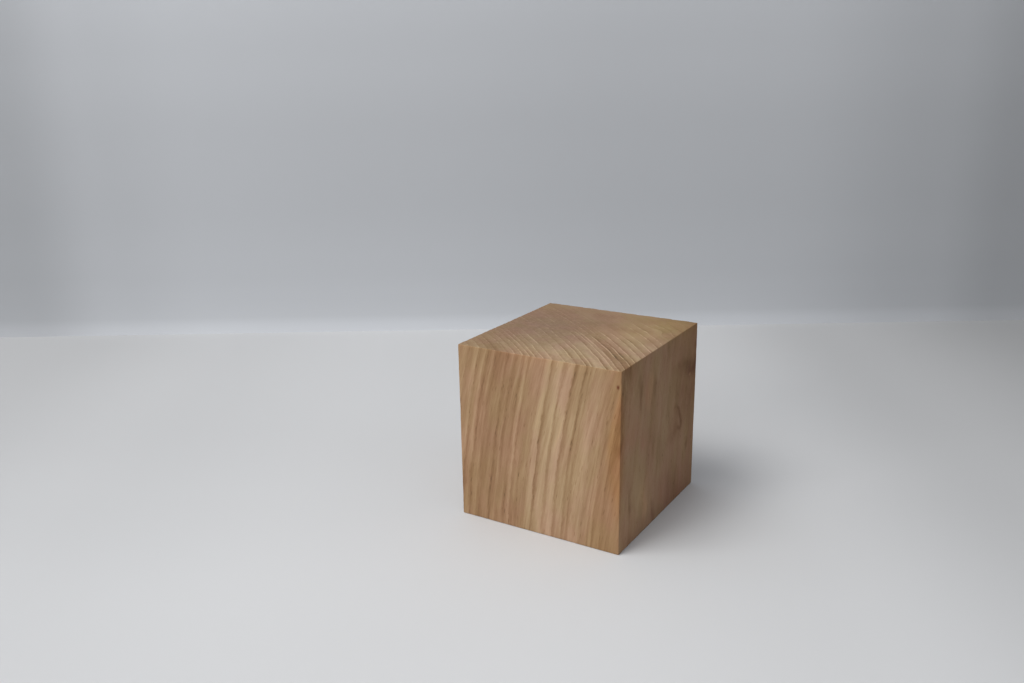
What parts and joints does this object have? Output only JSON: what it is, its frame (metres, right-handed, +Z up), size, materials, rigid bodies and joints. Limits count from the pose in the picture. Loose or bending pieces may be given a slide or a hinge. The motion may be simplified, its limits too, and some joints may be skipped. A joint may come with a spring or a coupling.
{
  "type": "wooden cube",
  "caption": "Solid hardwood cube with upright grain, end grain on its top and base and lightly eased edges, used as a building, display or craft block.",
  "frame": {"origin": "centre of the base, on the surface that the cube stands on", "axes": "+Z up along the grain, -Y out of the front face, +X out of the right-hand face; the cube is a little deeper than it is wide"},
  "size_m": [0.097, 0.101, 0.1],
  "materials": {
    "raw_wood": "bare sawn and sanded hardwood with wide growth rings, matt and unoiled"
  },
  "bodies": {
    "root": {"wooden_cube": "raw_wood"}
  },
  "joints": []
}
